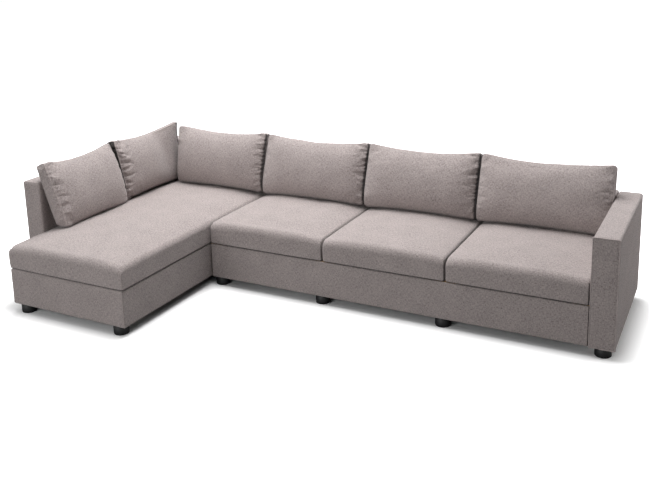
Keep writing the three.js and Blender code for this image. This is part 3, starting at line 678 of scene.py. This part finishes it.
def face_folds(field, marks, places, edges):
    """Folds on a face: the unevenness along each of its four edges, fading away from that edge."""
    folds = 0
    for axis in (0, 1):
        rough = sampled(field - blurred(field, marks[1 - axis], 1 - axis), marks, places)
        for side in (0, 1):
            strength, reach = edges[axis][side]
            away = marks[axis][-1] - places[axis] if side else places[axis]
            folds = folds + strength * rough * np.exp(-((away / reach) ** 2))
    return folds


def simulated_folds(rest, width, shaping, seed, edges):
    """Folds beside a cushion's seams, read at the given places from a simulated cushion.

    edges gives, for the low and high end of the width and of the height, how strong the folds are and how
    far they reach.
    """
    sizes = (width, CUSHION_HEIGHT, LOWER_BAND)
    lines = [spaced(size, step) for size, step in zip(sizes, CLOTH_STEPS)]
    mesh, places = grid_block("cloth_study", lines)
    put_points(mesh, cushion_form(places, width, *shaping))
    raise_points(mesh, drift(places, seed, *CLOTH_WAVES))
    normals = normals_of(mesh)
    at_end = [(places[:, k] == lines[k][0]) | (places[:, k] == lines[k][-1]) for k in range(3)]
    pinned = at_end[2] & (at_end[0] | at_end[1])
    moves = (blown_up(mesh, pinned) * normals).sum(axis=1)
    total = np.zeros(len(rest))
    for axis in range(3):
        across, along = [k for k in range(3) if k != axis]
        marks = lines[across], lines[along]
        for end in (0, -1):
            there = places[:, axis] == lines[axis][end]
            field = np.zeros((len(marks[0]), len(marks[1])))
            spots = [np.searchsorted(lines[k], places[there, k]) for k in (across, along)]
            field[spots[0], spots[1]] = moves[there]
            panel = rest[:, axis] == lines[axis][end]
            wanted = [rest[panel, across], rest[panel, along]]
            if axis == 2:
                folds = face_folds(field, marks, wanted, edges)
            else:
                strength, _ = edges[axis][-end]
                rough = field - blurred(field, marks[0], 0)
                folds = BAND_FOLD_SHARE * strength * sampled(rough, marks, wanted)
            total[panel] = np.clip(folds, -FOLD_LIMIT, FOLD_LIMIT)
    return total


def middle_of(low, high):
    return (np.array(low) + np.array(high)) / 2


def set_into_box(node, plain, sideways):
    """The move that takes a plain form into its solid's box, down on the pad and against the back."""
    low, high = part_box(node)
    plain_low, plain_high = plain.min(axis=0), plain.max(axis=0)
    shift = middle_of(low, high) - middle_of(plain_low, plain_high)
    shift[2] = low.z - plain_low[2] + REST_GAP
    if sideways:
        shift[0] = low.x - plain_low[0] + REST_GAP
    else:
        shift[1] = high.y - plain_high[1] - REST_GAP
    return shift


def cushion_distances(rest, width):
    """How far each point lies from the sides, from the upper or lower end, and from the front or rear."""
    x, y, z = rest.T
    return np.minimum(x, width - x), np.minimum(y, CUSHION_HEIGHT - y), np.minimum(z, LOWER_BAND - z)


def sewn_gathers(rest, width, seed, left, right):
    """How deep the sewn gathers press a cushion in, along both of its sides and along its upper end."""
    chance = np.random.default_rng(seed)
    x, y, z = rest.T
    along = y - CUSHION_HEIGHT / 2
    from_side, from_end, from_face = cushion_distances(rest, width)
    on_face = from_face == 0
    on_front = z == LOWER_BAND
    on_side = ~on_face & (from_side == 0)
    fade = smooth(from_end, *GATHER_END_FADE)
    total = np.zeros(len(rest))
    for near, (count, length, depth, _, _) in ((x < width / 2, left), (x >= width / 2, right)):
        front_folds = gathers(chance, CUSHION_HEIGHT, count, length, depth)
        side_folds = [
            (place, -slope, min(size, SIDE_GATHER_LENGTH), wide, SIDE_GATHER_DEPTH * deep)
            for place, slope, size, wide, deep in front_folds
        ]
        rear_folds = gathers(
            chance, CUSHION_HEIGHT, count, REAR_GATHER_LENGTH * length, REAR_GATHER_DEPTH * depth,
        )
        for panel, away, folds in (
            (on_front, from_side, front_folds),
            (on_face & ~on_front, from_side, rear_folds),
            (on_side, from_face, side_folds),
        ):
            total += np.where(panel & near, fade * gather_depth(along, away, folds), 0)
    top_count = round(width / TOP_GATHER_PITCH)
    top_folds = gathers(chance, width, top_count, TOP_GATHER_LENGTH, TOP_GATHER_DEPTH)
    on_upper_face = on_face & (along > 0)
    total += np.where(on_upper_face, gather_depth(x - width / 2, CUSHION_HEIGHT - y, top_folds), 0)
    return total


def cushion_painted_shade(rest, width, joined):
    """How much painted shade each point takes, where shade falls in a joint: at the sides, beside the right
    neighbour and at the foot.
    """
    x, y, z = rest.T
    from_side, _, _ = cushion_distances(rest, width)
    on_front = z == LOWER_BAND
    neighbour = np.where(x < width / 2, joined[0], joined[1])
    between = neighbour * (from_side == 0) * smooth(z, 0, JOINT_MOUTH)
    beside = joined[1] * on_front * np.exp(-(((width - x) / JOINT_DEPTH) ** JOINT_POWER))
    below = CONTACT_SHADE * on_front * np.exp(-((y / CONTACT_REACH) ** 2))
    return JOINT_SHADE * np.maximum(np.maximum(between, beside), below)


def back_cushion(
    node, tilt, seed, left, right, sideways=False, sunk=(0.1, 1, 1), pulls=(), pressed=0, free_swell=0,
    joined=(1, 1),
):
    """One back cushion.

    left and right give the count, length and depth of the sewn gathers at each side, then the strength and
    reach of the simulated folds there. free_swell is how far the band at a free left side swells more.
    joined says which of the two sides has a neighbour, so that shade is painted in the joint at that side.
    """
    lean = tilt + math.atan((LOWER_BAND - UPPER_BAND) / 2 / CUSHION_HEIGHT)
    low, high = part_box(node)
    width = (high - low)[1 if sideways else 0] + 2 * JOINT_FILL - LEFT_BULGE - RIGHT_BULGE
    lines = (
        spaced(width, FACE_STEP, SEAM_LINES),
        spaced(CUSHION_HEIGHT, GATHER_STEP, END_LINES),
        spaced(LOWER_BAND, BAND_STEP, BAND_LINES),
    )
    mesh, rest = grid_block(node + "_fabric", lines)
    lay_weave(mesh, rest, seed)

    # The plain form is set into the solid's box, and the pulled and pressed one takes the same place
    plain = stand_up(cushion_form(rest, width, lean, sunk), lean, sideways)
    shaping = lean, sunk, pulls, pressed
    shaped = stand_up(cushion_form(rest, width, *shaping), lean, sideways)
    put_points(mesh, shaped + set_into_box(node, plain, sideways))

    from_side, from_end, from_face = cushion_distances(rest, width)
    on_face = from_face == 0
    distance = np.where(on_face, np.minimum(from_side, from_end), from_face)
    height = -sewn_gathers(rest, width, seed, left, right)
    height += simulated_folds(rest, width, shaping, seed, ((left[3:], right[3:]), END_FOLDS))
    height += seam_rise(distance)
    for number, (length, size, fade) in enumerate(CUSHION_WAVES, start=1):
        height += drift(rest, seed + number, length, size) * smooth(distance, 0, fade)
    x, _, z = rest.T
    round_share = np.sqrt(np.clip(1 - (2 * z / LOWER_BAND - 1) ** 2, 0, 1))
    band_share = round_share * smooth(from_end, 0, FREE_SWELL_FADE)
    height += np.where(~on_face & (x == 0), free_swell * band_share, 0)
    raise_points(mesh, height)
    set_seam(mesh, distance)
    # Painted shade in the joints between cushions and along the foot, where the cushion meets its seat.
    set_share(mesh, "hollow", cushion_painted_shade(rest, width, joined))
    piece = dressed(node + "_fabric", mesh, cloth, [node])
    return piece


# Sides of the cushions: the count, length and depth of sewn gathers, the strength and reach of folds
FEW = (6, 0.024, 0.0016, 0.8, 0.05)
MANY = (12, 0.042, 0.0034, 1.7, 0.07)
DEEP = (9, 0.075, 0.0055, 2.2, 0.11)
FREE = (7, 0.03, 0.0024, 1.2, 0.06)

# For each back cushion its tilt, its left and right side, and what sets it apart
BACK_CUSHIONS = {
    "side_cushion_front": (FRONT_SIDE_TILT, MANY, FEW, {
        "sideways": True, "sunk": (0, 1, 0.4), "pulls": [(-1, 0.016, 0, 1)], "free_swell": 0.006,
        "joined": (0, 1),
    }),
    "side_cushion_rear": (REAR_SIDE_TILT, DEEP, FEW, {
        "sideways": True, "pulls": [(1, 0.030, 0.026, 4)], "pressed": 1,
    }),
    "corner_cushion": (CORNER_TILT, FEW, MANY, {"pulls": [(-1, 0.032, 0, 1.2)]}),
    "back_cushion_1": (CUSHION_TILT, FEW, MANY, {}),
    "back_cushion_2": (CUSHION_TILT, FEW, MANY, {}),
    "back_cushion_3": (CUSHION_TILT, FEW, FREE, {"sunk": (0.1, 0.5, 1), "joined": (1, 0)}),
}
for seed, (node, (tilt, left, right, special)) in enumerate(BACK_CUSHIONS.items(), FIRST_CUSHION_SEED):
    back_cushion(node, tilt, seed, left, right, **special)


# Mattress and seat pads
def pad_form(rest, size, crown, side_radius):
    """A foam pad under cloth: a rounded front, rolled top edges and a crowned top."""
    width, depth, height = size
    x, y, z = rest.T.copy()
    border = np.minimum(np.minimum(x, width - x), np.minimum(y, depth - y))
    lift = EDGE_LIFT * (1 - smooth(border, 0, LIFT_REACH)) * (1 - z / height) ** LIFT_POWER
    x, y = round_sides(x, width, y, PAD_CORNER_RADIUS)
    x, from_top = round_sides(x, width, height - z, side_radius)
    y, from_top = round_edge(y, from_top, PAD_FRONT_RADIUS)
    from_rear, from_top = round_edge(depth - y, from_top, PAD_REAR_RADIUS)
    y, z = depth - from_rear, height - from_top
    y, z = round_edge(y, z, PAD_LOWER_RADIUS)
    from_rear, z = round_edge(depth - y, z, PAD_LOWER_RADIUS)
    y = depth - from_rear
    x, z = round_sides(x, width, z, PAD_LOWER_RADIUS)
    place = 2 * x / width - 1
    share = 1 - np.abs(place) ** PAD_CROWN_POWER
    t = np.clip((y - PAD_FRONT_RADIUS) / (depth - PAD_FRONT_RADIUS - PAD_REAR_RADIUS), 0, 1)
    bow = 1 - np.abs(2 * t - 1) ** PAD_BOW_POWER
    z += lift + z / height * crown * share * ((1 - PAD_BOW_SHARE) + PAD_BOW_SHARE * bow)
    y += PAD_FRONT_BULGE * (1 - share) * (1 - y / depth)
    return np.stack((x, y, z), axis=1)


def pad_seam_distance(rest, size, seam_drop):
    """How far each point lies from a seam: at the corners, along the sides and, with no drop, on the top."""
    x, y, z = rest.T
    from_side = np.minimum(x, size[0] - x)
    from_end = np.minimum(y, size[1] - y)
    on_side = from_side == 0
    on_end = from_end == 0
    side_seam = np.where(on_side, np.abs(size[2] - z - seam_drop), NO_SEAM)
    corner_seam = np.where(on_side & ~on_end, from_end, NO_SEAM)
    end_seam = np.where(on_end, from_side, NO_SEAM)
    distance = np.minimum(np.minimum(side_seam, corner_seam), end_seam)
    if seam_drop == 0:
        distance = np.where(z == size[2], np.minimum(distance, from_side), distance)
    return distance


def pad_painted_shade(rest, size, joined_from):
    """How much painted shade each point takes, where shade falls in a joint: under the pad, at its sides and
    beside a right neighbour.
    """
    x, y, z = rest.T
    on_side = np.minimum(x, size[0] - x) == 0
    under = 1 - smooth(z, UNDER_START, PAD_LOWER_RADIUS)
    between = on_side & (y > joined_from) & (z < size[2])
    beside = (joined_from == 0) & (y == 0) & (size[0] - x < CONTACT_WIDTH)
    return np.maximum(under, JOINT_SHADE * (between | beside))


def seat_pad(node, crown, side_radius, seed, seam_drop, gap=PAD_GAP, joined_from=0):
    """A pad whose sides take painted shade for the joint from joined_from, counted from its front, to its
    rear.
    """
    low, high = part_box(node)
    low.x += gap
    high.x -= gap
    size = (high.x - low.x, high.y - low.y, SEAT_EDGE_HEIGHT - low.z)
    lines = (
        spaced(size[0], FACE_STEP, SEAM_LINES),
        spaced(size[1], FACE_STEP, SEAM_LINES),
        spaced(size[2], BAND_STEP, PAD_SIDE_LINES),
    )
    mesh, rest = grid_block(node + "_fabric", lines)
    lay_weave(mesh, rest, seed)
    put_points(mesh, pad_form(rest, size, crown, side_radius) + np.array(low))
    x, y, z = rest.T
    border = np.minimum(np.minimum(x, size[0] - x), np.minimum(y, size[1] - y))
    distance = pad_seam_distance(rest, size, seam_drop)
    height = seam_rise(distance)
    height += (drift(rest, seed + 1, *PAD_WAVES) - REST_GAP) * smooth(border, 0, PAD_INNER)
    height += drift(rest, seed + 2, *PAD_SMALL_WAVES)
    raise_points(mesh, height * smooth(z, 0, PAD_FOOT))
    # Painted shade under the pad, at its sides in the joints and beside a right neighbour.
    set_share(mesh, "hollow", pad_painted_shade(rest, size, joined_from))
    set_seam(mesh, distance)
    piece = dressed(node + "_fabric", mesh, cloth, [node])
    return piece


mattress_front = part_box("seat_cushion_1")[0].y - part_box("chaise_mattress")[0].y
seat_pad(
    "chaise_mattress", MATTRESS_CROWN, MATTRESS_EDGE_RADIUS, MATTRESS_SEED, MATTRESS_SEAM_DROP, MATTRESS_GAP,
    mattress_front,
)
for number in (1, 2, 3):
    seat_pad(f"seat_cushion_{number}", SEAT_CROWN, SEAT_EDGE_RADIUS, SEAT_SEED + number, seam_drop=0)


# Base, backs and arm
def rounded_block(rest, size, radius):
    """A block with all its edges rounded by one radius."""
    half = np.array(size) / 2
    place = rest - half
    inner = np.clip(place, radius - half, half - radius)
    out = place - inner
    reach = np.linalg.norm(out, axis=1, keepdims=True)
    most = np.abs(out).max(axis=1, keepdims=True)
    share = np.divide(most, reach, out=np.zeros_like(reach), where=reach > 0)
    return inner + out * share + half


def drop_faces(mesh, rest, gone):
    """Deletes the faces whose corners all lie in the given points, and returns the rest places left."""
    bm = bmesh.new()
    bm.from_mesh(mesh)
    bm.verts.ensure_lookup_table()
    mark = bm.verts.layers.int.new("kept")
    for vert in bm.verts:
        vert[mark] = vert.index
    faces = [face for face in bm.faces if all(gone[vert.index] for vert in face.verts)]
    bmesh.ops.delete(bm, geom=faces, context="FACES")
    kept = np.array([vert[mark] for vert in bm.verts])
    bm.verts.layers.int.remove(mark)
    bm.to_mesh(mesh)
    bm.free()
    return rest[kept]


def walled(piece):
    """Gives an open shell its thickness, inwards."""
    wall = piece.modifiers.new("wall", "SOLIDIFY")
    wall.thickness = COVER_WALL
    wall.offset = -1
    return piece


def cover_lines(size):
    return tuple(spaced(length, COVER_STEP, EDGE_LINES) for length in size)


def back_shell(name, low, high, replaced, radius, seed, axis):
    """A padded cover pulled over a frame from above, with a turned-in lip around its open underside.

    The seams run round both end panels, along the edges that border the given axis.
    """
    size = np.array(high) - np.array(low)
    mesh, rest = grid_block(name, cover_lines(size))
    lay_weave(mesh, rest, seed)
    from_wall = np.minimum(rest[:, :2], size[:2] - rest[:, :2]).min(axis=1)
    rest = drop_faces(mesh, rest, (rest[:, 2] == 0) & (from_wall >= LIP))
    put_points(mesh, rounded_block(rest, size, radius) + np.array(low))
    edge = np.minimum(rest, size - rest)
    from_edge = np.sort(edge, axis=1)[:, 1]
    from_end = edge[:, axis]
    rim = np.minimum(edge[:, 1 - axis], size[2] - rest[:, 2])
    distance = np.where(from_end == 0, rim, np.where(rim == 0, from_end, NO_SEAM))
    height = (drift(rest, seed + 1, *SHELL_WAVES) - REST_GAP) * smooth(from_edge, *SHELL_WAVE_FADE)
    height += seam_rise(distance)
    raise_points(mesh, height)
    set_seam(mesh, distance)
    return walled(dressed(name, mesh, cloth, replaced))


for name, axis in (("side_back", 1), ("corner_back", 0), ("rear_back", 0)):
    back_low, back_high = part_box(name + "_cover")
    back_shell(
        name + "_fabric", back_low, back_high, [name + "_cover"], BACK_EDGE_RADIUS, COVER_SEEDS[name], axis,
    )

arm_low, arm_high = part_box("arm_cover")
back_shell("arm_fabric", arm_low, arm_high, ["arm_cover"], ARM_EDGE_RADIUS, COVER_SEEDS["arm"], axis=1)


def slab(name, low, high, replaced, radius, seed, corded):
    """A thin padded panel, closed all round, either with a cord round its front or with painted shade at its
    ends and top.
    """
    size = np.array(high) - np.array(low)
    lines = [spaced(length, PANEL_STEP, EDGE_LINES) for length in size]
    thin = int(size.argmin())
    lines[thin] = spaced(size[thin], PANEL_WALL_STEP)
    mesh, rest = grid_block(name, lines)
    lay_weave(mesh, rest, seed)
    put_points(mesh, rounded_block(rest, size, radius) + np.array(low))
    edge = np.minimum(rest, size - rest)
    edge[:, thin] = NO_SEAM
    distance = edge.min(axis=1)
    height = drift(rest, seed + 1, *PANEL_WAVES) * smooth(distance, *PANEL_WAVE_FADE)
    if corded:
        in_front = rest[:, thin] < size[thin] / 2
        height += in_front * seam_rise(distance) * (1 + drift(rest, seed + 2, *CORD_WAVES))
        set_seam(mesh, distance)
    else:
        # Painted shade at the ends and along the top, which lie in the shade of the narrow gaps beside and
        # above the panel.
        beside = edge[:, 0] < CONTACT_WIDTH
        set_share(mesh, "hollow", JOINT_SHADE * (beside | (rest[:, 2] == size[2])))
    raise_points(mesh, height)
    return dressed(name, mesh, cloth, replaced)


slab(
    "arm_front_fabric", *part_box("arm_front_panel"), ["arm_front_panel"], PANEL_EDGE_RADIUS,
    COVER_SEEDS["arm_front"], corded=True,
)
base_low, base_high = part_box("seat_front_cover")
end_gap = Vector((PAD_GAP, 0, 0))
slab(
    "seat_base_fabric", base_low + end_gap, base_high - end_gap, ["seat_front_cover"], SEAT_BASE_EDGE_RADIUS,
    COVER_SEEDS["seat_base"], corded=False,
)


def chaise_base():
    """The cloth wrapped round the chaise's base: front and both sides in one, sewn at the two corners."""
    low = Vector(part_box("chaise_front_cover")[0])
    high = Vector(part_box("chaise_right_cover")[1])
    seed = COVER_SEEDS["chaise_base"]
    size = np.array(high) - np.array(low)
    mesh, rest = grid_block("chaise_base_fabric", cover_lines(size))
    lay_weave(mesh, rest, seed)
    inner = np.minimum(np.minimum(rest[:, 0], size[0] - rest[:, 0]), rest[:, 1]) >= LIP
    flat = (rest[:, 2] == 0) | (rest[:, 2] == size[2])
    rest = drop_faces(mesh, rest, (rest[:, 1] == size[1]) | (flat & inner))
    put_points(mesh, rounded_block(rest, size, CHAISE_BASE_EDGE_RADIUS) + np.array(low))
    side = np.minimum(rest[:, 0], size[0] - rest[:, 0])
    distance = np.where(rest[:, 1] == 0, side, np.where(side == 0, rest[:, 1], NO_SEAM))
    fade = smooth(distance, *BASE_WAVE_FADE) * smooth(size[2] - rest[:, 2], *BASE_TOP_FADE)
    raise_points(mesh, seam_rise(distance) + drift(rest, seed + 1, *BASE_WAVES) * fade)
    set_seam(mesh, distance)
    # Painted shade on the top face, which lies in the shade of the narrow gap under the mattress.
    set_share(mesh, "hollow", rest[:, 2] == size[2])
    replaced = ["chaise_front_cover", "chaise_left_cover", "chaise_right_cover"]
    return walled(dressed("chaise_base_fabric", mesh, cloth, replaced))


chaise_base()


# Feet
def foot(node):
    """A turned puck with a rounded foot, a slightly hollow sole and a small step under the top."""
    low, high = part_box(node)
    centre = (low + high) / 2
    radius = (high.x - low.x) / 2
    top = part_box("chaise_front_cover")[0].z - FOOT_TOP_GAP
    inner, outer = FOOT_HOLLOW_SHARES
    outline = [(0, FOOT_HOLLOW), (inner * radius, FOOT_HOLLOW), (outer * radius, 0)]
    for step in range(FOOT_EDGE_STEPS + 1):
        angle = math.pi / 2 * step / FOOT_EDGE_STEPS
        across, up = FOOT_EDGE * math.sin(angle), FOOT_EDGE * math.cos(angle)
        outline.append((radius - FOOT_EDGE + across, FOOT_EDGE - up))
    below, above, neck = (top - drop for drop in FOOT_STEP_HEIGHTS)
    outline += [(radius, below), (radius - FOOT_STEP, above), (radius - FOOT_STEP, neck)]
    outline += [(radius - FOOT_BEVEL, top), (0, top)]
    bm = bmesh.new()
    verts = [bm.verts.new((centre.x + r, centre.y, z)) for r, z in outline]
    edges = [bm.edges.new(pair) for pair in zip(verts, verts[1:])]
    bmesh.ops.spin(
        bm, geom=verts + edges, cent=(centre.x, centre.y, 0), axis=(0, 0, 1), angle=2 * math.pi,
        steps=FOOT_SIDES, use_merge=True,
    )
    bmesh.ops.remove_doubles(bm, verts=bm.verts, dist=MERGE_DISTANCE)
    bmesh.ops.recalc_face_normals(bm, faces=bm.faces)
    mesh = bpy.data.meshes.new(node + "_moulded")
    bm.to_mesh(mesh)
    bm.free()
    return dressed(node + "_moulded", mesh, plastic, [node])


for node in sorted(nodes):
    if "_foot" in node:
        foot(node)


# Camera, floor and light
def set_up_camera():
    """The photograph's view, from the fitted place, turns and lens."""
    ahead = Vector((-math.sin(CAMERA_YAW), math.cos(CAMERA_YAW), 0))
    right = Vector((math.cos(CAMERA_YAW), math.sin(CAMERA_YAW), 0))
    up = Vector((0, 0, 1))
    looking = math.cos(CAMERA_PITCH) * ahead - math.sin(CAMERA_PITCH) * up
    top = math.sin(CAMERA_PITCH) * ahead + math.cos(CAMERA_PITCH) * up
    across = math.cos(CAMERA_ROLL) * right + math.sin(CAMERA_ROLL) * top
    upright = -math.sin(CAMERA_ROLL) * right + math.cos(CAMERA_ROLL) * top
    data = bpy.data.cameras.new("camera")
    data.sensor_fit = "HORIZONTAL"
    data.sensor_width = CAMERA_SENSOR
    data.lens = CAMERA_LENS
    data.shift_y = CAMERA_SHIFT
    camera = bpy.data.objects.new("camera", data)
    axes = Matrix((across, upright, -looking)).transposed().to_4x4()
    camera.matrix_world = Matrix.Translation(CAMERA_PLACE) @ axes
    scene.collection.objects.link(camera)
    scene.camera = camera


def softbox(name, place, target, size, power):
    light = bpy.data.lights.new(name, "AREA")
    light.shape = "RECTANGLE"
    light.size, light.size_y = size
    light.energy = power
    lamp = bpy.data.objects.new(name, light)
    lamp.location = place
    lamp.rotation_euler = (Vector(target) - Vector(place)).to_track_quat("-Z", "Y").to_euler()
    scene.collection.objects.link(lamp)


def set_up_world():
    """White where the camera, glass or gloss sees it, and a soft grey fill for all else."""
    world = bpy.data.worlds.new("studio")
    scene.world = world
    world.use_nodes = True
    tree = world.node_tree
    fill = tree.nodes["Background"]
    white = tree.nodes.new("ShaderNodeBackground")
    for background, strength in ((fill, WORLD_FILL), (white, 1)):
        background.inputs["Color"].default_value = (1, 1, 1, 1)
        background.inputs["Strength"].default_value = strength
    path = tree.nodes.new("ShaderNodeLightPath")
    seen = path.outputs["Is Camera Ray"]
    for ray in ("Is Glossy Ray", "Is Transmission Ray"):
        either = tree.nodes.new("ShaderNodeMath")
        either.operation = "MAXIMUM"
        tree.links.new(seen, either.inputs[0])
        tree.links.new(path.outputs[ray], either.inputs[1])
        seen = either.outputs[0]
    mix = tree.nodes.new("ShaderNodeMixShader")
    for source, socket in zip((seen, fill.outputs[0], white.outputs[0]), mix.inputs):
        tree.links.new(source, socket)
    tree.links.new(mix.outputs[0], tree.nodes["World Output"].inputs["Surface"])


def set_up_floor():
    """A pale floor: it keeps the shadows near the sofa and fades to plain white away from it."""
    mesh = bpy.data.meshes.new("floor")
    bm = bmesh.new()
    bmesh.ops.create_grid(bm, x_segments=1, y_segments=1, size=FLOOR_HALF)
    bm.to_mesh(mesh)
    bm.free()
    floor = bpy.data.objects.new("floor", mesh)
    scene.collection.objects.link(floor)
    made = Nodes("floor_white")
    path = made.add("ShaderNodeLightPath").outputs["Is Camera Ray"]
    place = made.place()
    distances = []
    for middle, half in FOOTPRINT:
        away = made.vector("SUBTRACT", place, middle)
        away = made.vector("SUBTRACT", made.vector("ABSOLUTE", away), half)
        distances.append(made.vector("LENGTH", made.vector("MAXIMUM", away)))
    away = made.math("MINIMUM", *distances)
    fade = made.add(
        "ShaderNodeMapRange", {"Value": away, "From Max": FLOOR_FADE}, interpolation_type="SMOOTHSTEP",
    ).outputs[0]
    bounced, seen = ((*[level] * 3, 1) for level in (FLOOR_BOUNCED, FLOOR_SEEN))
    mesh.materials.append(made.surface({
        "Base Color": made.blend(path, bounced, seen), "Roughness": 1.0, "Specular IOR Level": 0.0,
        "Emission Color": (1, 1, 1, 1), "Emission Strength": made.math("MULTIPLY", fade, path),
    }))


scene.view_settings.view_transform = "Standard"
set_up_camera()
set_up_world()
set_up_floor()
for name, values in SOFTBOXES.items():
    softbox(name, *values)
